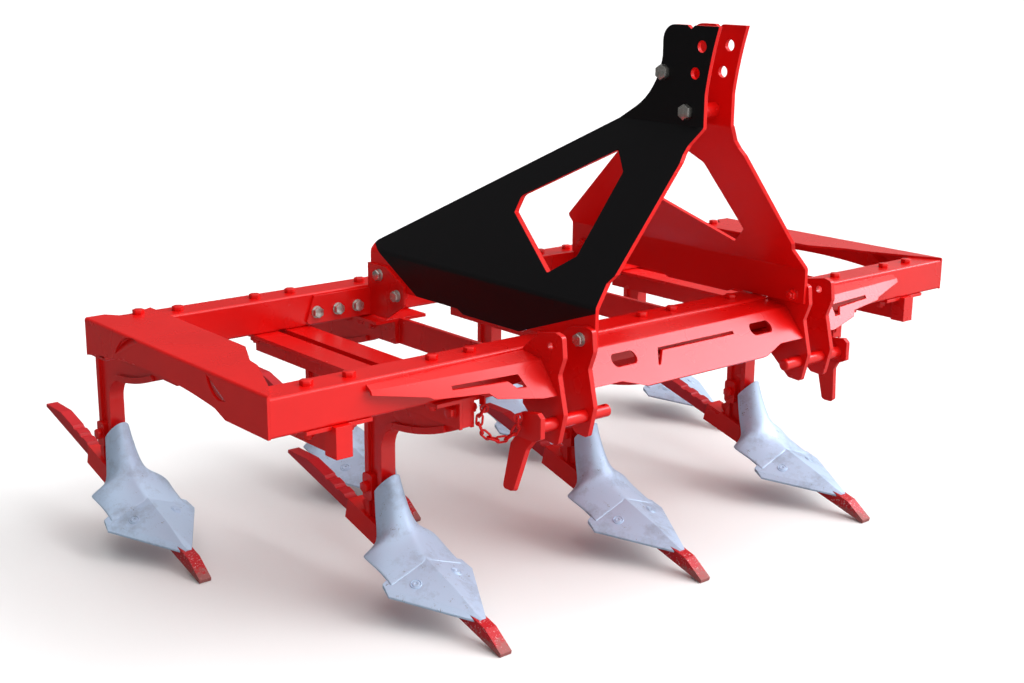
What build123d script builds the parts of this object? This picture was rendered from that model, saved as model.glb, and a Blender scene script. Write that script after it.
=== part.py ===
"""Seven-tine duck foot cultivator for a tractor's three-point hitch, in millimetres.

-Y is the direction of travel, +Z is up and X runs across the machine.
The points of the tines stand on z = 0 and the origin is under the middle of the machine.
"""
from build123d import *
from math import cos, radians, sin, tan
import os

os.makedirs("parts", exist_ok=True)

# Frame: two square tubes across the machine, closed by bent side plates
tine_pitch = 300.0
tine_count = 7
beam_size = 80.0
beam_wall = 6.0
beam_bottom = 525.0
row_spacing = 700.0
frame_width = 2120.0
side_sheet = 6.0
arch_height = 30.0
cheek_step_reach = 120.0
cheek_step_run = 40.0
flange_width = 160.0
flange_corner = 15.0
louvre_tilt = 28.0
louvre_width = 22.0

# Tines and their point bars
rear_setback = 20.0
arm_front = 54.0
arm_thickness = 22.0
arm_tip_depth = 62.0
arm_belly_reach = 80.0
arm_belly_depth = 108.0
arm_root_depth = 124.0
shank_front = 227.0
shank_depth = 65.0
shank_width = 38.0
shank_rim = 15.0
bend_radius = 95.0
throat_radius = 60.0
boss_rise = 100.0
boss_width = 36.0
boss_height = 62.0
boss_thickness = 52.0
lug_reach = 22.0
lug_height = 44.0
bar_size = 30.0
bar_length = 843.0
bar_angle = 15.75
bar_tip_reach = 184.0
bar_tip_bevel = 60.0
bar_tail_bevel = 85.0
bar_edge = 8.0
scallop_count = 3
scallop_pitch = 42.0
scallop_radius = 15.0
scallop_depth = 4.0
foot_wall = 10.0
foot_start = 405.0
foot_length = 165.0
fit_gap = 0.4

# Tine holders: pairs of angle irons under the tubes
angle_leg = 65.0
angle_wall = 8.0
holder_overhang = 14.0
short_front = 110.0
short_rear = 170.0
strut_thickness = 12.0
spacer_length = 40.0

# Shovels: a curved body over a winged share
share_sheet = 8.0
share_slope = 19.0
share_drop = 19.0
share_tip_reach = 110.0
share_tip_height = 58.0
share_tip_width = 16.0
wing_half_span = 114.0
wing_back = 101.0
wing_chord = 30.0
wing_tip_rake = 6.0
share_back = 130.0
share_bevel = 14.0
share_bevel_depth = 4.0
body_sheet = 8.0
collar_half_width = 36.0
collar_tilt = 38.0
lobe_half_span = 97.0
lobe_back = 190.0
notch_depth = 26.0
pad_half_width = 14.0
pad_length = 40.0
pad_height = 240.0

# Hitch: clevis plates, pull-out pins and their chains
hitch_spread = 780.0
clevis_gap = 72.0
hitch_sheet = 12.0
nose_reach = 171.0
hitch_corner = 10.0
ear_rise = 50.0
ear_hole = 17.0
pin_diameter = 28.0
pin_reach = 143.0
pin_height = 462.0
pin_free_end = 55.0
pin_bevel = 3.0
handle_gap = 51.0
handle_sheet = 12.0
handle_drop = 144.0
handle_lean = 14.0
linch_hole = 10.0
chain_wire = 5.0
chain_link_width = 18.0
chain_links = 9
chain_sag = 58.0
chain_play = 1.4
eye_hole = 12.2
eye_sheet = 4.0
eye_reach = 20.0
eye_drop = 24.0
handle_eye_back = 31.0
handle_eye_rise = 18.0

# Mast: two folded plates over the hitch, tied together by spacers
mast_sheet = 10.0
mast_gap = 76.0
mast_bend = 10.0
flange_height = 85.0
flange_clear = 2.0
web_drop = 356.0
leaf_height = 216.0
leaf_reach = 199.0
leaf_waist = 166.0
leaf_back = 38.0
leaf_corner = 34.0
leaf_notch = 120.0
notch_half = 11.0
notch_drop = 8.0
web_reach = 157.0
tail_corner = 22.0
window_corner = 8.0
top_hole = 25.5
spacer_diameter = 34.0
mast_foot_sheet = 8.0
mast_foot_reach = 195.0
mast_foot_length = 150.0
mast_foot_height = 130.0

# Front covers of folded sheet
cover_sheet = 5.0
cover_bend = 8.0
cover_fold = 97.0
cover_fold_drop = 9.0
cover_slope = 48.5
cover_drop = 93.0
cover_end_drop = 76.0
wing_cover_reach = 838.0
tip_fold = 15.0
tip_lip = 30.0
slot_spread = 444.0
slot_length = 72.0
slot_height = 24.0

# Places that follow from the sizes above
beam_top = beam_bottom + beam_size
beam_mid = beam_bottom + beam_size / 2
half_beam = beam_size / 2
half_frame = frame_width / 2
cover_reach = cover_fold + (cover_drop - cover_fold_drop) / tan(radians(cover_slope))
front_reach = max(leaf_reach, nose_reach, cover_reach)
bar_run = bar_length * cos(radians(bar_angle))
rear_reach = row_spacing + rear_setback + bar_run - bar_tip_reach
front_y = (front_reach - rear_reach) / 2
rear_y = front_y + row_spacing
inner_plate_x = hitch_spread / 2 - (clevis_gap + hitch_sheet) / 2
outer_plate_x = hitch_spread / 2 + (clevis_gap + hitch_sheet) / 2
inner_face_x = inner_plate_x - hitch_sheet / 2
outer_face_x = outer_plate_x + hitch_sheet / 2
pin_y = front_y - pin_reach
half_arm = arm_thickness / 2
holder_front = front_y - arm_front
handle_x = outer_face_x + handle_gap
lower_bend = beam_top + flange_height
upper_bend = lower_bend + web_drop
mast_top = upper_bend + leaf_height

# Tine places counted from the middle: even ones hang from the front tube, odd ones from the rear
positions = [number - (tine_count - 1) // 2 for number in range(tine_count)]

# Chains hang from an eye on the holder at this place to an eye on the handle of the pin
chain_place = 2
chain_start = Vector(
    chain_place * tine_pitch - half_arm - angle_wall - eye_reach * 0.75,
    holder_front - eye_reach * 0.75,
    beam_bottom - eye_drop,
)
chain_end = Vector(
    handle_x + handle_sheet + eye_reach / 2,
    pin_y + handle_eye_back,
    pin_height + handle_eye_rise,
)
chain_span = chain_end - chain_start
chain_heading = Vector(chain_span.X, chain_span.Y, 0).normalized()


def side_plane(x, y):
    """Plane whose local x runs rearward along Y and local y up along Z."""
    return Plane(origin=(x, y, 0), x_dir=(0, 1, 0), z_dir=(1, 0, 0))


def front_plane(y):
    """Plane facing forward whose local x runs along X and local y up along Z."""
    return Plane(origin=(0, y, 0), x_dir=(1, 0, 0), z_dir=(0, -1, 0))


def bar_plane():
    """Plane along a point bar: local x runs from its tip to its tail, local y across it."""
    angle = radians(bar_angle)
    along = (0, cos(angle), sin(angle))
    return Plane(origin=(0, -bar_tip_reach, 0), x_dir=along, z_dir=(1, 0, 0))


def ridge_plane():
    """Plane across the share's ridge at its tip: local x along X, local y square to the ridge."""
    angle = radians(share_slope)
    back = (0, cos(angle), sin(angle))
    return Plane(origin=(0, -share_tip_reach, share_tip_height), x_dir=(-1, 0, 0), z_dir=back)


def eye_plane(centre, heading):
    """Upright plane of a chain eye: local x runs along the chain's heading, local y up."""
    return Plane(origin=centre, x_dir=heading, z_dir=heading.cross(Vector(0, 0, 1)))


def louvre_plane(hinge_start, hinge_end, tilt):
    """Plane of a louvre on the right cheek, turned inward about its hinge by the tilt."""
    start = Vector(half_frame, *hinge_start)
    along = (Vector(half_frame, *hinge_end) - start).normalized()
    outward = Vector(1, 0, 0)
    free = outward.cross(along)
    turned = outward * cos(radians(tilt)) + free * sin(radians(tilt))
    return Plane(origin=start, x_dir=along, z_dir=turned)


def save(builder, name):
    """Label a finished piece and write it as its own STEP file."""
    builder.part.label = name
    export_step(builder.part, f"parts/{name}.step")


def save_pair(builder, name):
    """Write a right-hand piece and its mirror image for the left."""
    with BuildPart() as left:
        mirror(builder.part, about=Plane.YZ)
    save(builder, f"{name}_right")
    save(left, f"{name}_left")


def save_at_tines(builder, name):
    """Write a copy of a piece made at the origin for every tine."""
    for number, place in enumerate(positions, start=1):
        tine_y = front_y if place % 2 == 0 else rear_y + rear_setback
        with BuildPart() as copy:
            add(builder.part.moved(Location((place * tine_pitch, tine_y, 0))))
        save(copy, f"{name}_{number}")


# Front and rear tubes
beam_length = frame_width - 2 * side_sheet
beam_bore = beam_size - 2 * beam_wall
for name, y in (("front_beam", front_y), ("rear_beam", rear_y)):
    with BuildPart() as beam:
        with BuildSketch(Plane.YZ):
            with Locations((y, beam_mid)):
                RectangleRounded(beam_size, beam_size, beam_wall)
                Rectangle(beam_bore, beam_bore, mode=Mode.SUBTRACT)
        extrude(amount=beam_length / 2, both=True)
    save(beam, name)

# Side plates: one sheet folded over the tubes, with an arched cheek and two louvres
cheek_front = front_y - half_beam
cheek_rear = rear_y + half_beam
cheek_inside = half_frame - side_sheet
flange_edge = half_frame - flange_width
step_y = front_y + cheek_step_reach
# Hinges of the louvres as places behind the front tube's middle and depths below the tubes' top
louvre_hinges = (
    ((190.0, 0.0), (115.0, 40.0)),
    ((483.0, 0.0), (595.0, 48.0)),
)
with BuildPart() as side_plate:
    with BuildSketch(front_plane(cheek_rear)):
        with BuildLine():
            Polyline((flange_edge, beam_top), (cheek_inside, beam_top), (cheek_inside, beam_bottom))
            offset(amount=side_sheet, side=Side.LEFT)
        make_face()
    extrude(amount=cheek_rear - cheek_front)
    with BuildSketch(side_plane(cheek_inside, 0)):
        rear_low = (cheek_rear, beam_bottom)
        crown = (front_y + row_spacing / 2, beam_bottom + arch_height)
        front_low = (step_y + cheek_step_run, beam_bottom + arch_height / 2)
        with BuildLine():
            ThreePointArc(rear_low, crown, front_low)
            Polyline(front_low, (step_y, beam_bottom), rear_low)
        make_face()
    extrude(amount=side_sheet, mode=Mode.SUBTRACT)
    with BuildSketch(Plane.XY.offset(beam_top)) as flange_cut:
        with BuildLine():
            Polyline(
                (flange_edge, cheek_front),
                (half_frame - side_sheet, cheek_front),
                (half_frame - flange_width / 4, front_y + half_beam / 2),
                (half_frame - flange_width * 0.62, front_y + cheek_step_reach + cheek_step_run),
                (half_frame - flange_width * 0.66, front_y + cheek_step_reach + 2 * cheek_step_run),
                (flange_edge + side_sheet, front_y + row_spacing * 0.43),
                (flange_edge, rear_y - half_beam),
                (flange_edge, front_y + row_spacing / 2),
                close=True,
            )
        make_face()
        inner = flange_cut.vertices().group_by(Axis.X)[1:-1]
        fillet([corner for group in inner for corner in group], flange_corner)
    extrude(amount=side_sheet, mode=Mode.SUBTRACT)
    with BuildSketch(Plane.XY.offset(beam_top)):
        with BuildLine():
            Polyline(
                (half_frame - flange_width * 0.3, cheek_rear),
                (half_frame - flange_width / 2, rear_y),
                (flange_edge, cheek_rear),
                close=True,
            )
        make_face()
    extrude(amount=side_sheet, mode=Mode.SUBTRACT)
    for ends in louvre_hinges:
        hinge_start, hinge_end = [(front_y + behind, beam_top - below) for behind, below in ends]
        chord = (Vector(*hinge_end) - Vector(*hinge_start)).length
        for tilt, mode in ((0, Mode.SUBTRACT), (louvre_tilt, Mode.ADD)):
            with BuildSketch(louvre_plane(hinge_start, hinge_end, tilt)):
                with BuildLine():
                    ThreePointArc((0, 0), (chord / 2, louvre_width), (chord, 0))
                    Line((chord, 0), (0, 0))
                make_face()
            extrude(amount=-side_sheet, mode=mode)
save_pair(side_plate, "side_plate")

# Tine holders: angle irons back to back, carried through to the rear tube at the front tines.
# At the rear tines short angles hold the arm and a strut on edge runs forward to the front tube.
holder_bottom = beam_bottom - angle_leg
for number, place in enumerate(positions, start=1):
    x = place * tine_pitch
    front_row = place % 2 == 0
    holder_start = holder_front if front_row else rear_y - short_front
    holder_end = cheek_rear + holder_overhang if front_row else rear_y + short_rear
    with BuildPart() as holder:
        with BuildSketch(front_plane(holder_end)):
            for side in (-1, 1):
                inside = x + side * half_arm
                with BuildLine():
                    Polyline(
                        (inside, beam_bottom),
                        (inside + side * angle_leg, beam_bottom),
                        (inside + side * angle_leg, beam_bottom - angle_wall),
                        (inside + side * angle_wall, beam_bottom - angle_wall),
                        (inside + side * angle_wall, holder_bottom),
                        (inside, holder_bottom),
                        close=True,
                    )
                make_face()
        extrude(amount=holder_end - holder_start)
        if not front_row:
            with BuildSketch(Plane.XY.offset(holder_bottom)):
                with Locations((x, holder_start + spacer_length / 2)):
                    Rectangle(arm_thickness, spacer_length)
                with Locations((x, (holder_front + holder_start) / 2)):
                    Rectangle(strut_thickness, holder_start - holder_front)
                with Locations((x, holder_front + spacer_length / 2)):
                    Rectangle(arm_thickness + 2 * angle_wall, spacer_length)
            extrude(amount=angle_leg)
            with BuildSketch(Plane.XY.offset(beam_bottom - angle_wall)):
                with Locations((x, front_y)):
                    Rectangle(arm_thickness + 2 * angle_leg, beam_size)
            extrude(amount=angle_wall)
        if abs(place) == chain_place:
            side = 1 if place > 0 else -1
            centre = Vector(side * chain_start.X, chain_start.Y, chain_start.Z)
            heading = Vector(side * chain_heading.X, chain_heading.Y, 0)
            with BuildSketch(eye_plane(centre, heading)):
                Circle(eye_reach / 2)
                Circle(eye_hole / 2, mode=Mode.SUBTRACT)
            extrude(amount=eye_sheet / 2, both=True)
            with BuildSketch(side_plane(centre.X, centre.Y)):
                with Locations((-eye_sheet / 2, centre.Z + eye_hole / 2)):
                    Rectangle(
                        holder_front - centre.Y + eye_sheet / 2,
                        eye_drop - eye_hole / 2,
                        align=(Align.MIN, Align.MIN),
                    )
            extrude(amount=eye_sheet / 2, both=True)
    save(holder, f"tine_holder_{number}")

# Tines: a flat arm in the holder, an I-section shank and a foot that grips the point bar
arm_top = beam_bottom
shank_back = shank_front + shank_depth
foot_height = bar_size + 2 * foot_wall
foot_width = bar_size + 2 * foot_wall
bar_rise = tan(radians(bar_angle))
shank_low = bar_rise * (shank_front + bar_tip_reach) + bar_size
lug_low = bar_rise * (shank_back + bar_tip_reach) + bar_size
with BuildPart() as tine:
    with BuildSketch(side_plane(0, 0)) as outline:
        arm_tip = (-arm_front, arm_top - arm_tip_depth)
        arm_belly = (arm_belly_reach, arm_top - arm_belly_depth)
        arm_root = (shank_front, arm_top - arm_root_depth)
        with BuildLine():
            Polyline(
                arm_tip,
                (-arm_front, arm_top),
                (shank_back, arm_top),
                (shank_back, shank_low),
                (shank_front, shank_low),
                arm_root,
            )
            ThreePointArc(arm_root, arm_belly, arm_tip)
        make_face()
        back_corner = outline.vertices().group_by(Axis.Y)[-1].sort_by(Axis.X)[-1]
        fillet(back_corner, bend_radius)
        throat = outline.vertices().filter_by_position(Axis.X, shank_front - 1, shank_front + 1)
        fillet(throat.sort_by(Axis.Y)[-1], throat_radius)
    extrude(amount=half_arm, both=True)
    with BuildSketch(side_plane(0, 0)):
        add(outline.sketch_local)
        offset(amount=-shank_rim, mode=Mode.SUBTRACT)
        with Locations((shank_back / 2, (shank_low + holder_bottom) / 2)):
            Rectangle(shank_back, holder_bottom - shank_low - 2 * fit_gap, mode=Mode.INTERSECT)
    extrude(amount=shank_width / 2, both=True)
    with BuildSketch(side_plane(0, 0)):
        with Locations((shank_back - boss_width / 2, shank_low + boss_rise)):
            RectangleRounded(boss_width, boss_height, boss_width / 4)
    extrude(amount=boss_thickness / 2, both=True)
    with BuildSketch(side_plane(0, 0)):
        with BuildLine():
            Polyline(
                (shank_back, lug_low + lug_height),
                (shank_back + lug_reach, lug_low + lug_height * 0.8),
                (shank_back + lug_reach, lug_low + lug_height * 0.6),
                (shank_back, lug_low),
                close=True,
            )
        make_face()
    extrude(amount=half_arm, both=True)
    with BuildSketch(bar_plane()):
        with Locations((foot_start + foot_length / 2, bar_size / 2)):
            Rectangle(foot_length, foot_height)
    extrude(amount=foot_width / 2, both=True)
    with BuildSketch(bar_plane()):
        with Locations((bar_length / 2, (bar_size + fit_gap) / 2)):
            Rectangle(bar_length, bar_size + fit_gap)
    extrude(amount=bar_size / 2 + fit_gap, both=True, mode=Mode.SUBTRACT)
save_at_tines(tine, "tine")

# Point bars: square bars bevelled at both ends, so that they can be turned round when worn.
# Scallops across the top of each bar, behind the foot, take the clamp at other settings.
scallop_start = foot_start + foot_length + scallop_pitch / 2
with BuildPart() as bar:
    with BuildSketch(bar_plane()):
        with BuildLine():
            Polyline(
                (0, 0),
                (bar_length, 0),
                (bar_length, bar_edge),
                (bar_length - bar_tail_bevel, bar_size),
                (bar_tip_bevel, bar_size),
                (0, bar_edge),
                close=True,
            )
        make_face()
        for number in range(scallop_count):
            along = scallop_start + number * scallop_pitch
            with Locations((along, bar_size + scallop_radius - scallop_depth)):
                Circle(scallop_radius, mode=Mode.SUBTRACT)
    extrude(amount=bar_size / 2, both=True)
save_at_tines(bar, "point_bar")

# Shares: two wings meeting at a ridge that lies over the point bar, thinned along the cutting edges
wing_fall = tan(radians(share_drop))
ridge_length = (share_tip_reach + share_back) / cos(radians(share_slope))
roof_half = wing_half_span + share_bevel
far = mast_top
with BuildPart() as share:
    with BuildSketch(ridge_plane()):
        with BuildLine():
            Polyline(
                (-roof_half, -roof_half * wing_fall),
                (0, 0),
                (roof_half, -roof_half * wing_fall),
                (roof_half, -roof_half * wing_fall - share_sheet),
                (0, -share_sheet),
                (-roof_half, -roof_half * wing_fall - share_sheet),
                close=True,
            )
        make_face()
    extrude(amount=ridge_length)
    with BuildSketch(Plane.XY):
        with BuildLine():
            Polyline(
                (0, -share_tip_reach),
                (share_tip_width / 2, -share_tip_reach),
                (wing_half_span, wing_back - wing_chord),
                (wing_half_span - wing_tip_rake, wing_back),
                (wing_half_span * 0.72, wing_back + wing_tip_rake),
                (share_tip_width, share_back),
                (0, share_back),
            )
            mirror(about=Plane.YZ)
        make_face()
    extrude(amount=far, mode=Mode.INTERSECT)
    for end in (0, -1):
        top = share.faces().filter_by(lambda face: face.normal_at().Z > 0.5).sort_by(Axis.X)[end]
        cutting_edge = top.edges().sort_by(Axis.Y)[:2].sort_by(SortBy.LENGTH)[-1]
        chamfer(cutting_edge, share_bevel, share_bevel_depth, reference=top)
    with BuildSketch(bar_plane()):
        with Locations((bar_length / 2, 0)):
            Rectangle(bar_length, 2 * bar_size)
    extrude(amount=bar_size / 2 + fit_gap, both=True, mode=Mode.SUBTRACT)
save_at_tines(share, "share")

# Shovel bodies: tilted sections along the ridge, from the share's own slope up to the collar
def ridge_height(y):
    """Height of the share's ridge, carried on behind the share."""
    return share_tip_height + (y + share_tip_reach) * tan(radians(share_slope))


def roof_drop(half_width):
    """How far the share's wings fall below the ridge, seen along a tilted section."""
    tilt = radians(collar_tilt)
    fall = wing_fall / cos(radians(share_slope))
    return half_width * fall / (cos(tilt) + sin(tilt) * tan(radians(share_slope)))


# Columns: place of the ridge behind the tine's middle, its height, half width of the section,
# fall of its edges below the ridge, bulge of its sides
seam_y = share_back - notch_depth
body_sections = (
    (seam_y, ridge_height(seam_y), lobe_half_span, roof_drop(lobe_half_span), 0.5),
    (share_back, ridge_height(share_back), lobe_half_span, roof_drop(lobe_half_span), 0.5),
    (shank_front - 67, 172.0, lobe_half_span, 53.0, 7.0),
    (shank_front - 49, 196.0, 64.0, 41.0, 9.0),
    (shank_front - 29, 234.0, 43.0, 31.0, 9.0),
    (shank_front - 11, 290.0, collar_half_width, 29.0, 9.0),
)
with BuildPart() as body:
    tilt = radians(collar_tilt)
    for ridge_y, ridge_z, half_width, fall, bulge in body_sections:
        lean = Plane(origin=(0, ridge_y, ridge_z), x_dir=(-1, 0, 0), z_dir=(0, cos(tilt), sin(tilt)))
        with BuildSketch(lean):
            with BuildLine():
                for lower in (0, body_sheet):
                    for side in (-1, 1):
                        ThreePointArc(
                            (0, -lower),
                            (side * half_width / 2, bulge - lower - fall / 2),
                            (side * half_width, -lower - fall),
                        )
                for side in (-1, 1):
                    Line((side * half_width, -fall), (side * half_width, -fall - body_sheet))
            make_face()
    loft()
    with BuildSketch(Plane.XY):
        wing_root = (wing_half_span * 0.72, wing_back + wing_tip_rake)
        with BuildLine():
            Polyline(
                (0, share_back),
                (share_tip_width, share_back),
                wing_root,
                (wing_root[0] - notch_depth / 2, wing_root[1] + notch_depth / 2),
                (lobe_half_span - 2 * body_sheet, lobe_back - 2 * body_sheet),
                (lobe_half_span - fit_gap, lobe_back),
                (2 * lobe_half_span, lobe_back),
                (2 * lobe_half_span, -share_tip_reach),
                (0, -share_tip_reach),
            )
            mirror(about=Plane.YZ)
        make_face()
    extrude(amount=far, mode=Mode.SUBTRACT)
    with BuildSketch(bar_plane()):
        with Locations((bar_length / 2, 0)):
            Rectangle(bar_length, 2 * bar_size)
    extrude(amount=bar_size / 2 + fit_gap, both=True, mode=Mode.SUBTRACT)
    with BuildSketch(front_plane(shank_front)):
        with Locations((0, pad_height)):
            Rectangle(2 * pad_half_width, pad_length)
    extrude(until=Until.NEXT)
save_at_tines(body, "shovel_body")

# Hitch plates: two clevis plates on each side, welded to the front of the tube.
# Their ears stand above the tube beside the mast, and their noses carry the pin.
ear_top = beam_top + ear_rise
ear_hole_place = (-126.0, beam_top + ear_rise * 0.4)
with BuildPart() as hitch_plates:
    for plate_x in (inner_plate_x, outer_plate_x):
        with BuildSketch(side_plane(plate_x, front_y)) as plate:
            with BuildLine():
                Polyline(
                    (-half_beam, pin_height + pin_diameter * 0.7),
                    (-half_beam, beam_top),
                    (-half_beam - ear_rise, ear_top - hitch_corner),
                    (-half_beam - 2 * ear_rise, ear_top),
                    (-nose_reach + hitch_corner, ear_top - hitch_corner / 2),
                    (-nose_reach + hitch_corner / 2, beam_top),
                    (-nose_reach + 2 * hitch_corner, beam_mid),
                    (-nose_reach, pin_height + pin_diameter * 0.8),
                    (-pin_reach - hitch_corner, pin_height - pin_diameter * 1.7),
                    (-pin_reach + pin_diameter, pin_height - pin_diameter * 1.6),
                    close=True,
                )
            make_face()
            rounded = plate.vertices().filter_by_position(Axis.X, -nose_reach - 1, -half_beam - 1)
            fillet(rounded, hitch_corner)
            with Locations((-pin_reach, pin_height)):
                Circle(pin_diameter / 2 + fit_gap, mode=Mode.SUBTRACT)
            with Locations(ear_hole_place):
                Circle(ear_hole / 2, mode=Mode.SUBTRACT)
        extrude(amount=hitch_sheet / 2, both=True)
save_pair(hitch_plates, "hitch_plates")

# Hitch pins: a round pin through both plates, with a flat handle outside and a linch pin hole inside
pin_start = inner_face_x - pin_free_end
handle_bend = pin_height - pin_diameter
blade_drop = handle_drop - pin_diameter
with BuildPart() as pin:
    with BuildSketch(side_plane(pin_start, 0)):
        with Locations((pin_y, pin_height)):
            Circle(pin_diameter / 2)
    extrude(amount=handle_x + handle_sheet - pin_start)
    free_end = pin.faces().sort_by(Axis.X)[0]
    chamfer(free_end.edges(), pin_bevel)
    with BuildSketch(side_plane(handle_x, pin_y)):
        with BuildLine():
            Polyline(
                (-pin_diameter, pin_height + pin_diameter),
                (-pin_diameter * 0.6, pin_height + pin_diameter * 1.3),
                (handle_eye_back + eye_sheet, pin_height + pin_diameter),
                (handle_eye_back + eye_sheet, pin_height - pin_diameter * 0.3),
                (pin_diameter * 1.7, handle_bend),
                (-pin_diameter * 0.2, handle_bend),
                (-pin_diameter, pin_height - pin_diameter * 0.6),
                close=True,
            )
        make_face()
    extrude(amount=handle_sheet)
    lean = radians(handle_lean)
    blade = Plane(origin=(handle_x, pin_y, handle_bend), x_dir=(0, 1, 0), z_dir=(cos(lean), 0, sin(lean)))
    with BuildSketch(blade) as blade_outline:
        with BuildLine():
            Polyline(
                (-pin_diameter * 0.2, handle_sheet / 4),
                (pin_diameter * 1.7, handle_sheet / 4),
                (pin_diameter * 2.2, -pin_diameter * 0.7),
                (pin_diameter * 2.1, -blade_drop),
                (pin_diameter * 0.9, -blade_drop),
                (pin_diameter * 0.4, -pin_diameter * 0.8),
                close=True,
            )
        make_face()
        tip = blade_outline.vertices().group_by(Axis.Y)[0]
        fillet(tip, pin_diameter / 3)
    extrude(amount=handle_sheet)
    with BuildSketch(eye_plane(chain_end, chain_heading)):
        Circle(eye_reach / 2)
        Circle(eye_hole / 2, mode=Mode.SUBTRACT)
    extrude(amount=eye_sheet / 2, both=True)
    with BuildSketch(side_plane(handle_x, chain_end.Y)):
        with Locations((0, chain_end.Z + (eye_reach + eye_hole) / 4)):
            Rectangle(eye_sheet, (eye_reach - eye_hole) / 2)
    extrude(amount=chain_end.X + eye_sheet / 2 - handle_x)
    with BuildSketch(Plane.XY.offset(pin_height)):
        with Locations((pin_start + linch_hole * 1.5, pin_y)):
            Circle(linch_hole / 2)
    extrude(amount=pin_diameter, both=True, mode=Mode.SUBTRACT)
save_pair(pin, "hitch_pin")

# Tether chains: welded links from an eye on the tine holder down to the handle of the pin
across = chain_heading.cross(Vector(0, 0, 1))
chain_low = (chain_start + chain_end) * 0.5 - Vector(0, 0, chain_sag)
with BuildLine() as sag:
    ThreePointArc(chain_start, chain_low, chain_end)
joints = [sag.line @ (number / chain_links) for number in range(chain_links + 1)]
with BuildPart() as chain:
    for number in range(chain_links):
        middle = (joints[number] + joints[number + 1]) * 0.5
        along = (joints[number + 1] - joints[number]).normalized()
        normal = along.cross(across) if number % 2 == 0 else across
        pitch = (joints[number + 1] - joints[number]).length
        bend = (chain_link_width - chain_wire) / 2
        run = (pitch + chain_wire + chain_play) / 2 - bend
        with BuildLine(Plane(origin=middle, x_dir=along, z_dir=normal)) as loop:
            Line((-run, bend), (run, bend))
            ThreePointArc((run, bend), (run + bend, 0), (run, -bend))
            Line((run, -bend), (-run, -bend))
            ThreePointArc((-run, -bend), (-run - bend, 0), (-run, bend))
        with BuildSketch(Plane(origin=loop.line @ 0, z_dir=loop.line % 0)):
            RegularPolygon(chain_wire / 2, 6)
        sweep(path=loop.line)
save_pair(chain, "tether_chain")

# Mast plates: folded sheet, seen from the front as an upper leaf, a slanted web and a lower flange
leaf_x = mast_gap / 2
flange_x = inner_face_x - mast_sheet
flange_bottom = beam_top + flange_clear
tail_end = row_spacing - half_beam - flange_clear
# Side outline of the web's window as places behind the front tube's middle and heights
mast_window = (
    (38.0, upper_bend - 60),
    (250.0, lower_bend + 175),
    (242.0, lower_bend + 141),
    (35.0, lower_bend + 44),
    (-22.0, lower_bend + 86),
    (-14.0, upper_bend - 101),
)
top_link_holes = ((-153.0, mast_top - 43), (-136.0, mast_top - 100))
spacer_places = ((-44.0, mast_top - 103), (-116.0, upper_bend + 33))
with BuildPart() as mast_plate:
    with BuildSketch(front_plane(front_y + tail_end)):
        with BuildLine():
            FilletPolyline(
                (leaf_x, mast_top),
                (leaf_x, upper_bend),
                (flange_x, lower_bend),
                (flange_x, flange_bottom - half_beam),
                radius=mast_bend,
            )
            offset(amount=mast_sheet, side=Side.LEFT)
        make_face()
    extrude(amount=tail_end + leaf_reach)
    with BuildSketch(side_plane(0, front_y)) as mast_side:
        leaf_front = (-leaf_reach, mast_top)
        leaf_low = (-leaf_waist, upper_bend + leaf_height / 3)
        leaf_bow = (-leaf_waist - mast_sheet, upper_bend + leaf_height * 0.6)
        neck_top = (-leaf_back, mast_top - 2 * leaf_corner)
        neck_low = (leaf_back, upper_bend + leaf_corner)
        neck_bow = (-leaf_back / 2, upper_bend + leaf_height * 0.43)
        with BuildLine():
            ThreePointArc(leaf_front, leaf_bow, leaf_low)
            Polyline(
                leaf_low,
                (-leaf_waist, upper_bend),
                (-web_reach + mast_sheet / 2, upper_bend - leaf_corner),
                (-web_reach + mast_sheet / 2, upper_bend - 1.5 * leaf_corner),
                (-web_reach, upper_bend - 2 * leaf_corner),
                (-web_reach, lower_bend + 2 * leaf_corner),
                (-web_reach + mast_sheet, lower_bend + 1.5 * leaf_corner),
                (-web_reach, lower_bend),
                (-web_reach, flange_bottom),
                (half_beam + tail_corner, flange_bottom),
                (half_beam + 2 * tail_corner, flange_bottom - mast_sheet),
                (row_spacing / 2 - half_beam - tail_corner, flange_bottom - mast_sheet),
                (row_spacing / 2 - half_beam, flange_bottom),
                (tail_end, flange_bottom),
                (tail_end, lower_bend + tail_corner),
                neck_low,
            )
            ThreePointArc(neck_low, neck_bow, neck_top)
            Polyline(
                neck_top,
                (-leaf_back, mast_top),
                (-leaf_notch + notch_half, mast_top),
                (-leaf_notch, mast_top - notch_drop),
                (-leaf_notch - notch_half, mast_top),
                leaf_front,
            )
        make_face()
        top_corner = mast_side.vertices().group_by(Axis.Y)[-1].sort_by(Axis.X)[-1]
        fillet(top_corner, leaf_corner)
        tail = mast_side.vertices().group_by(Axis.X)[-1].sort_by(Axis.Y)[-1]
        fillet(tail, tail_corner)
    extrude(amount=half_frame, mode=Mode.INTERSECT)
    with BuildSketch(side_plane(0, front_y)) as mast_holes:
        with BuildLine():
            Polyline(mast_window, close=True)
        make_face()
        fillet(mast_holes.vertices(), window_corner)
        with Locations(*top_link_holes):
            Circle(top_hole / 2)
    extrude(amount=half_frame, mode=Mode.SUBTRACT)
save_pair(mast_plate, "mast_plate")

# Mast spacers: tubes that hold the two upper leaves apart
with BuildPart() as spacers:
    with BuildSketch(side_plane(0, front_y)):
        with Locations(*spacer_places):
            Circle(spacer_diameter / 2)
    extrude(amount=leaf_x, both=True)
save(spacers, "mast_spacers")

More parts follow.
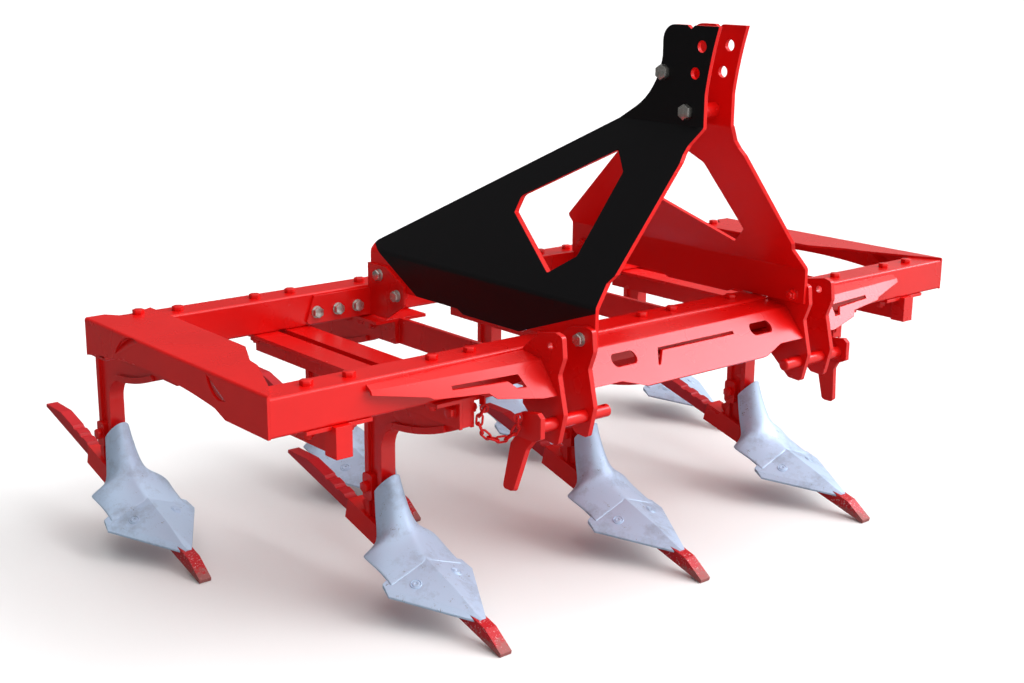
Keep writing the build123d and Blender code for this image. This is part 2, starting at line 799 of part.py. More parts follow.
# Mast feet: angle plates that bolt the rear of the mast to the rear tube
foot_face = rear_y - half_beam
foot_low = beam_bottom + beam_wall
with BuildPart() as mast_foot:
    with BuildSketch(front_plane(foot_face)) as foot_front:
        with BuildLine():
            Polyline(
                (inner_face_x, foot_low),
                (inner_face_x + mast_foot_reach, foot_low),
                (inner_face_x + mast_foot_reach - 3 * mast_foot_sheet, beam_top - beam_wall),
                (inner_face_x, beam_top - beam_wall),
                close=True,
            )
        make_face()
        fillet(foot_front.vertices().group_by(Axis.X)[-1], mast_foot_sheet)
    extrude(amount=mast_foot_sheet)
    with BuildSketch(side_plane(inner_face_x, foot_face)) as foot_side:
        with BuildLine():
            Polyline(
                (0, foot_low),
                (0, foot_low + mast_foot_height),
                (-mast_foot_length / 2, foot_low + mast_foot_height),
                (-mast_foot_length, foot_low + mast_foot_height * 0.7),
                (-mast_foot_length, foot_low + mast_foot_height * 0.35),
                (-mast_foot_length / 2, foot_low),
                close=True,
            )
        make_face()
        fillet(foot_side.vertices().group_by(Axis.X)[:2][0], mast_foot_sheet)
    extrude(amount=mast_foot_sheet)
save_pair(mast_foot, "mast_foot")

# Front covers: folded sheet ahead of the front tube, one between the clevises and one outside each
cover_top = beam_top - beam_wall
fold_z = cover_top - cover_fold_drop
lip_z = cover_top - cover_drop
end_z = cover_top - cover_end_drop
cut_depth = cover_reach - half_beam
slot_z = (fold_z + lip_z) / 2 + slot_height / 2
with BuildPart() as front_cover:
    with BuildSketch(side_plane(-inner_face_x, front_y)):
        with BuildLine():
            FilletPolyline(
                (-half_beam, cover_top),
                (-cover_fold, fold_z),
                (-cover_reach, lip_z),
                radius=cover_bend,
            )
            offset(amount=cover_sheet, side=Side.LEFT)
        make_face()
        with Locations((0, beam_mid)):
            Rectangle(beam_size, beam_size, mode=Mode.SUBTRACT)
    extrude(amount=2 * inner_face_x)
    with BuildSketch(front_plane(front_y - half_beam)):
        for side in (-1, 1):
            with BuildLine():
                Polyline(
                    (side * slot_spread * 0.4, lip_z - cover_sheet),
                    (side * (slot_spread + slot_length) / 2, end_z),
                    (side * inner_face_x, end_z),
                    (side * inner_face_x, lip_z - cover_sheet),
                    close=True,
                )
            make_face()
            with Locations((side * slot_spread / 2, slot_z)):
                SlotOverall(slot_length, slot_height)
        with BuildLine():
            Polyline(
                (slot_length * 1.8, slot_z + slot_height / 4),
                (-slot_length * 1.6, slot_z + slot_height / 4),
                (-slot_length * 1.9, slot_z - slot_height),
                (-slot_length * 1.8, slot_z - slot_height),
                (-slot_length * 1.45, slot_z),
                (slot_length * 1.8, slot_z),
                close=True,
            )
        make_face()
    extrude(amount=cut_depth + cover_sheet, mode=Mode.SUBTRACT)
save(front_cover, "front_cover")
wing_tip_z = cover_top - cover_drop / 4
wing_lip_z = wing_tip_z - 4 * cover_sheet
# Columns: place across the machine, reach of the fold, reach of the lip, height of the lip,
# height of the top edge
wing_cover_ends = (
    (outer_face_x, cover_fold, cover_reach - cover_sheet, lip_z, cover_top),
    (wing_cover_reach, half_beam + tip_fold, half_beam + tip_lip, wing_lip_z, cover_top - cover_sheet),
)
with BuildPart() as wing_cover:
    for x, fold, low_y, low_z, high_z in wing_cover_ends:
        with BuildSketch(side_plane(x, front_y)):
            with BuildLine():
                Polyline(
                    (-half_beam, high_z),
                    (-fold, high_z - cover_fold_drop),
                    (-low_y, low_z),
                    (-low_y + cover_sheet, low_z - cover_sheet / 2),
                    (-fold + cover_sheet / 2, high_z - cover_fold_drop - cover_sheet),
                    (-half_beam, high_z - cover_sheet),
                    close=True,
                )
            make_face()
    loft(ruled=True)
    with BuildSketch(front_plane(front_y - half_beam)):
        with BuildLine():
            Polyline(
                (outer_face_x, lip_z - cover_sheet),
                (outer_face_x, end_z),
                (outer_face_x + slot_length / 2, end_z),
                (outer_face_x + 1.9 * slot_length, end_z + slot_height / 2),
                (outer_face_x + 2.1 * slot_length, end_z + slot_height),
                (outer_face_x + 3.8 * slot_length, end_z + slot_height * 1.2),
                (outer_face_x + 3.9 * slot_length, end_z + slot_height * 1.4),
                (wing_cover_reach, wing_tip_z),
                (wing_cover_reach, lip_z - cover_sheet),
                close=True,
            )
        make_face()
        with BuildLine():
            Polyline(
                (outer_face_x + slot_length * 0.85, end_z + slot_height),
                (outer_face_x + slot_length * 1.15, end_z + slot_height),
                (outer_face_x + slot_length * 1.35, end_z + slot_height * 1.6),
                (outer_face_x + slot_length * 3.15, end_z + slot_height * 1.65),
                (outer_face_x + slot_length * 3.15, end_z + slot_height * 1.95),
                (outer_face_x + slot_length * 0.95, end_z + slot_height * 2.0),
                close=True,
            )
        make_face()
    extrude(amount=cut_depth + cover_sheet, mode=Mode.SUBTRACT)
save_pair(wing_cover, "wing_cover")
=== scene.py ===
"""Looks of a seven-tine duck foot cultivator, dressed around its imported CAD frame.

All lengths are metres in the frame of the CAD part: -Y is the direction of travel, +Z is up.
"""

import logging
import math
from dataclasses import dataclass
from enum import Enum

import bmesh
import bpy
import numpy as np
from mathutils import Matrix, Vector
from mathutils.bvhtree import BVHTree


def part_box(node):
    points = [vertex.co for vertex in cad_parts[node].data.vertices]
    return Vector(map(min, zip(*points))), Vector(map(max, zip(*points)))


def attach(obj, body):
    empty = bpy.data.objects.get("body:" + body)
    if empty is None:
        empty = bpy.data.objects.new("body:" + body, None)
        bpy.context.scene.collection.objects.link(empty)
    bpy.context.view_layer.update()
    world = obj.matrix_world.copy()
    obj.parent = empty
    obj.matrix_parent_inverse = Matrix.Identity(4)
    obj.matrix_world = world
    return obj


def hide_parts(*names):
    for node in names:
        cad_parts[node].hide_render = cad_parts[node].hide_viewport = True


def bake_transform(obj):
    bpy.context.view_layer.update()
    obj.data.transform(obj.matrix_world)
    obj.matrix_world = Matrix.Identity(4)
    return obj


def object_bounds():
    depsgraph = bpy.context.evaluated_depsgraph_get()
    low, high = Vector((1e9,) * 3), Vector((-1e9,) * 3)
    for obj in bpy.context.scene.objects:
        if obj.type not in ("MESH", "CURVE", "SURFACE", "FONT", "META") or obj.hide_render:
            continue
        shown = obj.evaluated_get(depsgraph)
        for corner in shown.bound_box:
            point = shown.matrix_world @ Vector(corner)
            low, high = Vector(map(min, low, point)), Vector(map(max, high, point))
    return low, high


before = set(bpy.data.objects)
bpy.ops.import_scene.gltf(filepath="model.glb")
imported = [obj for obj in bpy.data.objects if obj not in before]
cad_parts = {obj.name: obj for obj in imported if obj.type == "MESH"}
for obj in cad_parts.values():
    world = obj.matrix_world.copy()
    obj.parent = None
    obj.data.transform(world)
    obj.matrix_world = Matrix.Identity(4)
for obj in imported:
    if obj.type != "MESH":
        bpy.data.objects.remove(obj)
cad_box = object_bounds()

log = logging.getLogger("cultivator")

Pair = tuple[float, float]
Triple = tuple[float, float, float]

PHOTO_WIDTH = 1024
TINE_COUNT = 7
SIDES = (("left", -1), ("right", 1))
UP = Vector((0.0, 0.0, 1.0))
DOWN = Vector((0.0, 0.0, -1.0))
BACK = Vector((0.0, 1.0, 0.0))
TURN = 2.0 * math.pi
ENAMEL_RED = (0.74, 0.0045, 0.0035)
BEVEL_SEGMENTS = 2
# Points nearer to each other than this are one point.
SAME_PLACE = 1e-6
# Where a line starts that comes from well outside the machine.
FAR = 2.0
# From a tine's foremost point to the middle of its arm.
ARM_FRONT = 0.054
# How deep bolts and washers sink into their seats.
SEAT_DEPTH = 0.0005
# Bolt from a hitch plate's ear to the mast: place behind the front tube's middle, and height.
EAR_BOLT = (-0.126, 0.625)


class Slot(Enum):
    """Material slots of the record; each new piece keeps one, and takes its finish from its own material.
    """

    RED = "red_paint"
    SILVER = "silver_cast"


class Body(Enum):
    """CAD bodies that pieces ride on."""

    ROOT = "root"
    PIN_LEFT = "pin_left"
    PIN_RIGHT = "pin_right"


class NodeTree:
    """Small helper that adds and links shader nodes in one material."""

    def __init__(self, material: bpy.types.Material) -> None:
        """Clear the material's tree and give it a Principled surface.

        Args:
            material: the material to fill.
        """
        material.use_nodes = True
        self.tree = material.node_tree
        self.tree.nodes.clear()
        self.shader = self.add("ShaderNodeBsdfPrincipled")
        output = self.add("ShaderNodeOutputMaterial")
        self.link(self.shader.outputs["BSDF"], output.inputs["Surface"])
        self.coordinates = self.add("ShaderNodeTexCoord")

    def add(self, kind: str, **settings: object) -> bpy.types.Node:
        """Add a node and set its properties.

        Args:
            kind: Blender's name of the node type.
            **settings: properties of the node, by name.

        Returns:
            The new node.
        """
        node = self.tree.nodes.new(kind)
        for name, value in settings.items():
            setattr(node, name, value)
        return node

    def link(self, source: bpy.types.NodeSocket, target: bpy.types.NodeSocket) -> None:
        """Link two sockets."""
        self.tree.links.new(source, target)

    def noise(self, scale: float, detail: float = 4.0, roughness: float = 0.55) -> bpy.types.NodeSocket:
        """Noise on Object coordinates.

        Args:
            scale: features per metre.
            detail: octaves of the noise.
            roughness: weight of the fine octaves.

        Returns:
            The noise's value socket.
        """
        node = self.add("ShaderNodeTexNoise")
        node.inputs["Scale"].default_value = scale
        node.inputs["Detail"].default_value = detail
        node.inputs["Roughness"].default_value = roughness
        self.link(self.coordinates.outputs["Object"], node.inputs["Vector"])
        return node.outputs["Fac"]

    def remap(self, value: bpy.types.NodeSocket, low: float, high: float,
              start: float, end: float) -> bpy.types.NodeSocket:
        """Map a value from the range low to high onto start to end, clamped.

        Args:
            value: socket to map.
            low: value that becomes start.
            high: value that becomes end.
            start: result at low.
            end: result at high.

        Returns:
            The mapped socket.
        """
        node = self.add("ShaderNodeMapRange")
        node.inputs["From Min"].default_value = low
        node.inputs["From Max"].default_value = high
        node.inputs["To Min"].default_value = start
        node.inputs["To Max"].default_value = end
        self.link(value, node.inputs["Value"])
        return node.outputs["Result"]

    def mix(self, share: bpy.types.NodeSocket, first: object, second: object) -> bpy.types.NodeSocket:
        """Mix two colours, each a tuple of three numbers or a socket.

        Args:
            share: how much of the second colour shows.
            first: colour where share is 0.
            second: colour where share is 1.

        Returns:
            The mixed colour socket.
        """
        node = self.add("ShaderNodeMix", data_type="RGBA")
        self.link(share, node.inputs["Factor"])
        for socket, colour in ((node.inputs["A"], first), (node.inputs["B"], second)):
            self.colour(socket, colour)
        return node.outputs["Result"]

    def colour(self, socket: bpy.types.NodeSocket, colour: object) -> None:
        """Set a colour socket to a tuple, or link it to another socket.

        Args:
            socket: the socket to set.
            colour: three numbers or a socket.
        """
        if isinstance(colour, bpy.types.NodeSocket):
            self.link(colour, socket)
        else:
            socket.default_value = (*colour, 1.0)

    def maths(self, operation: str, first: bpy.types.NodeSocket, second: object) -> bpy.types.NodeSocket:
        """Combine two numbers.

        Args:
            operation: Blender's name of the operation.
            first: first number's socket.
            second: second number or its socket.

        Returns:
            The result's socket.
        """
        node = self.add("ShaderNodeMath", operation=operation)
        self.link(first, node.inputs[0])
        if isinstance(second, bpy.types.NodeSocket):
            self.link(second, node.inputs[1])
        else:
            node.inputs[1].default_value = second
        return node.outputs["Value"]

    def split(self, name: str) -> bpy.types.Node:
        """Split one of the texture coordinates into X, Y and Z.

        Args:
            name: the coordinate's name.

        Returns:
            The node with the three numbers.
        """
        node = self.add("ShaderNodeSeparateXYZ")
        self.link(self.coordinates.outputs[name], node.inputs["Vector"])
        return node

    def bump(self, height: bpy.types.NodeSocket, strength: float, distance: float,
             edge: float = 0.0015) -> None:
        """Give the surface a bump from a height socket, and softly rounded edges.

        Args:
            height: socket with the height.
            strength: how much of the bump shows.
            distance: height of the bump in metres.
            edge: radius that the edges seem to have.
        """
        rounded = self.add("ShaderNodeBevel", samples=4)
        rounded.inputs["Radius"].default_value = edge
        node = self.add("ShaderNodeBump")
        node.inputs["Strength"].default_value = strength
        node.inputs["Distance"].default_value = distance
        self.link(height, node.inputs["Height"])
        self.link(rounded.outputs["Normal"], node.inputs["Normal"])
        self.link(node.outputs["Normal"], self.shader.inputs["Normal"])

    def set(self, **values: float) -> None:
        """Set plain numbers of the surface, named as its sockets with _ for a blank."""
        for name, value in values.items():
            self.shader.inputs[name.replace("_", " ")].default_value = value

    def feed(self, name: str, value: bpy.types.NodeSocket) -> None:
        """Link a value to one of the surface's own sockets."""
        self.link(value, self.shader.inputs[name])

    def orange_peel(self) -> None:
        """Give sprayed paint its faint ripple."""
        self.bump(self.noise(scale=420.0, detail=2.0), strength=0.04, distance=0.0005)


@dataclass(frozen=True)
class RedEnamel:
    """Glossy red enamel with a faint orange peel."""

    colour: Triple = ENAMEL_RED
    deep: Triple = (0.64, 0.0035, 0.003)
    cloud_scale: float = 5.0
    tone_span: Pair = (0.35, 0.70)
    gloss_span: Pair = (0.3, 0.75)
    gloss: Pair = (0.24, 0.30)
    specular: float = 0.45

    def material(self) -> bpy.types.Material:
        """Build the material.

        Returns:
            The new material.
        """
        made = bpy.data.materials.new("red_enamel")
        nodes = NodeTree(made)
        cloud = nodes.noise(self.cloud_scale)
        tone = nodes.remap(cloud, *self.tone_span, 0.0, 1.0)
        nodes.feed("Base Color", nodes.mix(tone, self.colour, self.deep))
        nodes.feed("Roughness", nodes.remap(cloud, *self.gloss_span, *self.gloss))
        nodes.set(Specular_IOR_Level=self.specular)
        nodes.orange_peel()
        return made


@dataclass(frozen=True)
class WornRed:
    """Red enamel on a point bar, rubbed to dull pinkish metal at the tip."""

    colour: Triple = (0.52, 0.010, 0.016)
    worn: Triple = (0.33, 0.13, 0.12)
    chip: Triple = (0.62, 0.42, 0.44)
    worn_heights: Pair = (0.012, 0.030)
    chip_heights: Pair = (0.051, 0.085)
    ragged: float = 0.022
    ragged_span: Pair = (0.25, 0.75)
    speckle_span: Pair = (0.60, 0.66)
    strongest: float = 0.85
    gloss: Pair = (0.34, 0.7)
    specular: float = 0.3

    def material(self) -> bpy.types.Material:
        """Build the material: paint gives way to pale chips and then to wear near the ground.

        Returns:
            The new material.
        """
        made = bpy.data.materials.new("worn_red")
        nodes = NodeTree(made)
        cloud = nodes.noise(scale=70.0, detail=6.0, roughness=0.65)
        shift = nodes.remap(cloud, *self.ragged_span, -self.ragged, self.ragged)
        height = nodes.maths("ADD", nodes.split("Object").outputs["Z"], shift)
        wear = nodes.remap(height, *self.worn_heights, self.strongest, 0.0)
        spots = nodes.noise(scale=240.0, detail=3.0)
        speckle = nodes.remap(spots, *self.speckle_span, 0.0, self.strongest)
        low = nodes.remap(height, *self.chip_heights, 1.0, 0.0)
        chipped = nodes.mix(nodes.maths("MULTIPLY", speckle, low), self.colour, self.chip)
        nodes.feed("Base Color", nodes.mix(wear, chipped, self.worn))
        nodes.feed("Roughness", nodes.remap(wear, 0.0, 1.0, *self.gloss))
        nodes.set(Specular_IOR_Level=self.specular)
        nodes.bump(nodes.noise(scale=300.0), strength=0.12, distance=0.0008)
        return made


@dataclass(frozen=True)
class MastPaint:
    """Black paint on the outer faces of a mast plate, red enamel on its edges, ends and inner face.

    The two red ends are split off by slanted lines in the side view, each through two points given as
    metres behind the front tube's middle and metres above the ground.
    """

    name: str
    outward: float
    tube_y: float
    tail_line: tuple[float, float, float, float] = (0.644, 0.702, 0.470, 0.608)
    front_line: tuple[float, float, float, float] = (-0.022, 0.636, -0.156, 0.683)
    black: Triple = (0.0045, 0.0042, 0.005)
    red: Triple = ENAMEL_RED
    least_outward: float = 0.45
    cloud_scale: float = 9.0
    gloss_span: Pair = (0.3, 0.75)
    gloss: Pair = (0.30, 0.38)
    specular: float = 0.22

    def above(self, nodes: NodeTree, place: bpy.types.Node,
              line: tuple[float, float, float, float]) -> bpy.types.NodeSocket:
        """Tell on which side of a line a point is.

        Args:
            nodes: the material's nodes.
            place: node that splits the point into X, Y and Z.
            line: two points of the line.

        Returns:
            A socket that is 1 above the line and 0 below it.
        """
        y0, z0, y1, z1 = line
        slope = (z1 - z0) / (y1 - y0)
        start = z0 - slope * (y0 + self.tube_y)
        height = nodes.maths("MULTIPLY_ADD", place.outputs["Y"], slope)
        height.node.inputs[2].default_value = start
        over = nodes.maths("SUBTRACT", place.outputs["Z"], height)
        return nodes.maths("GREATER_THAN", over, 0.0)

    def material(self) -> bpy.types.Material:
        """Build the material: the face's own direction chooses the paint.

        Returns:
            The new material.
        """
        made = bpy.data.materials.new(self.name)
        nodes = NodeTree(made)
        outer = nodes.maths("MULTIPLY", nodes.split("Normal").outputs["X"], self.outward)
        black = nodes.maths("GREATER_THAN", outer, self.least_outward)
        place = nodes.split("Object")
        for line in (self.tail_line, self.front_line):
            black = nodes.maths("MULTIPLY", black, self.above(nodes, place, line))
        nodes.feed("Base Color", nodes.mix(black, self.red, self.black))
        nodes.set(Specular_IOR_Level=self.specular)
        cloud = nodes.noise(self.cloud_scale)
        nodes.feed("Roughness", nodes.remap(cloud, *self.gloss_span, *self.gloss))
        nodes.orange_peel()
        return made


@dataclass(frozen=True)
class SilverCast:
    """Cast surface under thin aluminium paint, with darker smudges."""

    pale: Triple = (0.58, 0.74, 0.96)
    dull: Triple = (0.34, 0.42, 0.54)
    grime: Triple = (0.16, 0.17, 0.20)
    smudge_span: Pair = (0.50, 0.74)
    pit_span: Pair = (0.355, 0.43)
    darkest_pit: float = 0.8
    gloss: Pair = (0.36, 0.55)
    metallic: float = 0.35
    specular: float = 0.4

    def material(self) -> bpy.types.Material:
        """Build the material: broad smudges, a fine grain and small dark pits.

        Returns:
            The new material.
        """
        made = bpy.data.materials.new("silver_cast")
        nodes = NodeTree(made)
        broad = nodes.noise(scale=11.0, detail=8.0, roughness=0.68)
        smudge = nodes.remap(broad, *self.smudge_span, 0.0, 1.0)
        grain = nodes.noise(scale=330.0, detail=6.0, roughness=0.7)
        spots = nodes.maths("MULTIPLY", grain, nodes.noise(scale=45.0, detail=3.0))
        pits = nodes.remap(spots, *self.pit_span, 0.0, self.darkest_pit)
        paint = nodes.mix(smudge, self.pale, self.dull)
        nodes.feed("Base Color", nodes.mix(pits, paint, self.grime))
        nodes.feed("Roughness", nodes.remap(smudge, 0.0, 1.0, *self.gloss))
        nodes.set(Metallic=self.metallic, Specular_IOR_Level=self.specular)
        nodes.bump(grain, strength=0.30, distance=0.0012)
        return made


@dataclass(frozen=True)
class ZincPlate:
    """Bright zinc on bolts and nuts."""

    colour: Triple = (0.66, 0.65, 0.61)
    dull: Triple = (0.46, 0.45, 0.41)
    cloud_span: Pair = (0.35, 0.7)
    gloss: Pair = (0.24, 0.42)
    metallic: float = 0.9

    def material(self) -> bpy.types.Material:
        """Build the material.

        Returns:
            The new material.
        """
        made = bpy.data.materials.new("zinc_plate")
        nodes = NodeTree(made)
        cloud = nodes.remap(nodes.noise(scale=140.0), *self.cloud_span, 0.0, 1.0)
        nodes.feed("Base Color", nodes.mix(cloud, self.colour, self.dull))
        nodes.feed("Roughness", nodes.remap(cloud, 0.0, 1.0, *self.gloss))
        nodes.set(Metallic=self.metallic)
        nodes.bump(nodes.noise(scale=900.0, detail=2.0), strength=0.08, distance=0.0004)
        return made


@dataclass(frozen=True)
class StudioFloor:
    """Plain pale floor that throws little light back under the machine."""

    seen: Triple = (0.93, 0.93, 0.93)
    thrown: Triple = (0.45, 0.45, 0.45)
    roughness: float = 0.8
    specular: float = 0.1

    def material(self) -> bpy.types.Material:
        """Build the material: pale for the camera, greyer for the light that bounces off it.

        Returns:
            The new material.
        """
        made = bpy.data.materials.new("studio_floor")
        nodes = NodeTree(made)
        path = nodes.add("ShaderNodeLightPath")
        nodes.feed("Base Color", nodes.mix(path.outputs["Is Camera Ray"], self.thrown, self.seen))
        nodes.set(Roughness=self.roughness, Specular_IOR_Level=self.specular)
        return made


class Paints:
    """Every finish of the machine, built once."""

    def __init__(self, tube_y: float) -> None:
        """Build the materials.

        Args:
            tube_y: middle of the front tube along Y.
        """
        self.red = RedEnamel().material()
        self.worn = WornRed().material()
        self.silver = SilverCast().material()
        self.zinc = ZincPlate().material()
        self.mast = {
            side: MastPaint(f"mast_paint_{side}", float(sign), tube_y).material()
            for side, sign in SIDES
        }


class CadSurfaces:
    """Gives each CAD node the finish of the real piece."""

    def __init__(self, paints: Paints) -> None:
        """Keep the finishes."""
        self.paints = paints

    def finish_for(self, node: str) -> bpy.types.Material:
        """Choose a node's finish by its name.

        Args:
            node: name of the CAD node.

        Returns:
            The material that the node gets.
        """
        if node.startswith("mast_plate"):
            return self.paints.mast[node.rsplit("_", 1)[1]]
        if node.startswith(("share", "shovel_body")):
            return self.paints.silver
        if node.startswith("point_bar"):
            return self.paints.worn
        return self.paints.red

    def dress(self) -> None:
        """Assign the finishes to every node."""
        for name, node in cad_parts.items():
            node.data.materials.clear()
            node.data.materials.append(self.finish_for(name))


@dataclass
class Places:
    """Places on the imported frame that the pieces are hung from."""

    front_y: float
    rear_y: float
    half_tube: float
    tube_top: float
    tube_bottom: float

    @classmethod
    def read(cls) -> "Places":
        """Read the places from the CAD nodes.

        Returns:
            The places of the two tubes.
        """
        low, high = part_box("front_beam")
        rear_low, rear_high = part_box("rear_beam")
        return cls(front_y=(low.y + high.y) / 2, rear_y=(rear_low.y + rear_high.y) / 2,
                   half_tube=(high.y - low.y) / 2, tube_top=high.z, tube_bottom=low.z)

    def tine(self, number: int) -> Vector:
        """Middle of a tine's arm, under its tube.

        Args:
            number: the tine, counted from the left.

        Returns:
            Its place at the height of the tubes' underside.
        """
        low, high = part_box(f"tine_{number}")
        return Vector(((low.x + high.x) / 2, low.y + ARM_FRONT, self.tube_bottom))


class Surface:
    """Finds where a line meets the solids of some CAD nodes."""

    def __init__(self, *names: str) -> None:
        """Gather the faces of the nodes.

        Args:
            *names: names of the nodes.
        """
        points: list[Vector] = []
        faces: list[tuple[int, ...]] = []
        for name in names:
            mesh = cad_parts[name].data
            start = len(points)
            points.extend(vertex.co.copy() for vertex in mesh.vertices)
            faces.extend(tuple(start + index for index in face.vertices) for face in mesh.polygons)
        self.tree = BVHTree.FromPolygons(points, faces)

    def hit(self, start: Vector, heading: Vector) -> tuple[Vector, Vector]:
        """Follow a line to the first face.

        Args:
            start: where the line begins.
            heading: its direction.

        Returns:
            The place and the face's outward direction there.
        """
        place, normal, _, _ = self.tree.ray_cast(start, heading)
        if place is None:
            raise ValueError(f"no face ahead of {start}")
        return place, normal


def add_ring(bm: bmesh.types.BMesh, middle: Vector, first: Vector, second: Vector,
             sides: int) -> list[bmesh.types.BMVert]:
    """Add a ring of points.

    Args:
        bm: mesh to add it to.
        middle: the ring's middle.
        first: from the middle to the first point.
        second: from the middle to a quarter turn further on.
        sides: number of points.

    Returns:
        The points in their order.
    """
    turns = [TURN * corner / sides for corner in range(sides)]
    return [bm.verts.new(middle + first * math.cos(turn) + second * math.sin(turn)) for turn in turns]


def bridge(bm: bmesh.types.BMesh, ring: list[bmesh.types.BMVert],
           following: list[bmesh.types.BMVert]) -> None:
    """Join two rings of equally many points with faces.

    Args:
        bm: mesh of the rings.
        ring: points of the first ring.
        following: points of the next ring.
    """
    for corner in range(len(ring)):
        bm.faces.new((ring[corner - 1], ring[corner], following[corner], following[corner - 1]))


@dataclass(frozen=True)
class HexBolt:
    """Hex head or nut on a washer, with the thread that stands out of a nut."""

    across: float
    height: float
    washer: float = 0.0
    thread: float = 0.0
    thread_length: float = 0.0
    washer_height: float = 0.003
    edge: float = 0.0009
    washer_sides: int = 28
    hex_sides: int = 6
    thread_sides: int = 20

    def add_disc(self, bm: bmesh.types.BMesh, seat: Matrix, radius: float, low: float, high: float,
                 segments: int) -> None:
        """Add one bevelled disc or prism.

        Args:
            bm: mesh to add it to.
            seat: where the bolt sits, with Z outward.
            radius: radius to the corners.
            low: where it starts above the seat.
            high: where it ends above the seat.
            segments: number of its sides.
        """
        place = seat @ Matrix.Translation((0.0, 0.0, (low + high) / 2))
        made = bmesh.ops.create_cone(bm, cap_ends=True, segments=segments, radius1=radius, radius2=radius,
                                     depth=high - low, matrix=place)
        edges = dict.fromkeys(edge for corner in made["verts"] for edge in corner.link_edges)
        bmesh.ops.bevel(bm, geom=list(edges), offset=self.edge, segments=BEVEL_SEGMENTS, profile=0.5,
                        affect="EDGES", material=-1)

    def add_to(self, bm: bmesh.types.BMesh, place: Vector, outward: Vector) -> None:
        """Add the bolt to a mesh.

        Args:
            bm: mesh to add it to.
            place: where its axis meets the seat.
            outward: direction from the seat to the head.
        """
        seat = Matrix.Translation(place) @ outward.to_track_quat("Z", "Y").to_matrix().to_4x4()
        base = -SEAT_DEPTH
        if self.washer:
            self.add_disc(bm, seat, self.washer, base, self.washer_height, self.washer_sides)
            base = self.washer_height - SEAT_DEPTH
        top = base + self.height
        self.add_disc(bm, seat, self.across / math.sqrt(3.0), base, top, self.hex_sides)
        if self.thread:
            self.add_disc(bm, seat, self.thread, base, top + self.thread_length, self.thread_sides)


SMALL_HEAD = HexBolt(across=0.024, height=0.0105, washer=0.0150)
SMALL_NUT = HexBolt(across=0.024, height=0.0130, washer=0.0150, thread=0.008, thread_length=0.006)


@dataclass(frozen=True)
class WeldBead:
    """Rippled weld bead under the paint."""

    radius: float = 0.0035
    ripple: float = 0.0045
    ripple_height: float = 0.14
    ripple_steps: int = 3
    least_steps: int = 6
    end_radius: float = 0.35
    taper: float = 8.0
    sides: int = 8

    def add_to(self, bm: bmesh.types.BMesh, start: Vector, end: Vector) -> None:
        """Lay a bead along a straight seam.

        Args:
            bm: mesh to add it to.
            start: one end of the seam.
            end: its other end.
        """
        run = end - start
        along = run.normalized()
        side = along.orthogonal().normalized()
        other = along.cross(side)
        count = max(self.least_steps, round(self.ripple_steps * run.length / self.ripple))
        rings = []
        for step in range(count + 1):
            share = step / count
            taper = min(1.0, self.taper * min(share, 1.0 - share) + self.end_radius)
            wave = 1.0 + self.ripple_height * math.sin(TURN * share * run.length / self.ripple)
            radius = self.radius * taper * wave
            rings.append(add_ring(bm, start + run * share, side * radius, other * radius, self.sides))
        for ring, following in zip(rings, rings[1:]):
            bridge(bm, ring, following)
        bm.faces.new(list(reversed(rings[0])))
        bm.faces.new(rings[-1])


@dataclass
class Piece:
    """A new piece of the dressed model, built as one mesh at the origin."""

    name: str
    material: bpy.types.Material
    slot: Slot
    body: Body = Body.ROOT
    sharp: float = 0.6

    def __post_init__(self) -> None:
        """Start an empty mesh."""
        self.bm = bmesh.new()

    def make(self) -> bpy.types.Object:
        """Turn the mesh into a shown object.

        Returns:
            The object, linked to the scene but not yet riding on a body.
        """
        for face in self.bm.faces:
            face.smooth = True
        for edge in self.bm.edges:
            edge.smooth = edge.calc_face_angle(0.0) < self.sharp
        mesh = bpy.data.meshes.new(self.name)
        self.bm.to_mesh(mesh)
        self.bm.free()
        mesh.materials.append(self.material)
        made = bpy.data.objects.new(self.name, mesh)
        bpy.context.scene.collection.objects.link(made)
        log.info("%s: %d faces", self.name, len(mesh.polygons))
        return made

    def fix(self) -> bpy.types.Object:
        """Make the object ride on its body."""
        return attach(self.make(), self.body.value)


@dataclass
class FrameFittings:
    """Bolts through the two tubes, and welds between the tubes and the side plates."""

    paints: Paints
    places: Places
    bolt_spread: float = 0.049
    holder_leg: float = 0.008
    weld_ends: Pair = (0.008, 0.004)
    head: HexBolt = HexBolt(across=0.024, height=0.0105)

    def tube_bolts(self, tube: str, y: float) -> None:
        """Bolt every tine holder to a tube, with heads on top and nuts below.

        Args:
            tube: name of the tube's node.
            y: the tube's middle along Y.
        """
        piece = Piece(f"{tube}_bolts", self.paints.red, Slot.RED)
        top = Surface(tube, "side_plate_left", "side_plate_right")
        for number in range(1, TINE_COUNT + 1):
            for side in (-1, 1):
                x = self.places.tine(number).x + side * self.bolt_spread
                seat, _ = top.hit(Vector((x, y, FAR)), DOWN)
                self.head.add_to(piece.bm, seat, UP)
                below = Vector((x, y, self.places.tube_bottom - self.holder_leg))
                SMALL_NUT.add_to(piece.bm, below, DOWN)
        piece.fix()

    def welds(self) -> None:
        """Weld the side plates to the tubes."""
        piece = Piece("frame_welds", self.paints.red, Slot.RED)
        bead = WeldBead()
        low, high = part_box("front_beam")
        bottom = low.z + self.weld_ends[0]
        top = high.z - self.weld_ends[1]
        for x in (low.x, high.x):
            for y, inward in ((self.places.front_y, 1), (self.places.rear_y, -1)):
                face = y + inward * self.places.half_tube
                bead.add_to(piece.bm, Vector((x, face, bottom)), Vector((x, face, top)))
        piece.fix()

    def build(self) -> None:
        """Add every fitting of the frame."""
        self.tube_bolts("front_beam", self.places.front_y)
        self.tube_bolts("rear_beam", self.places.rear_y)
        self.welds()


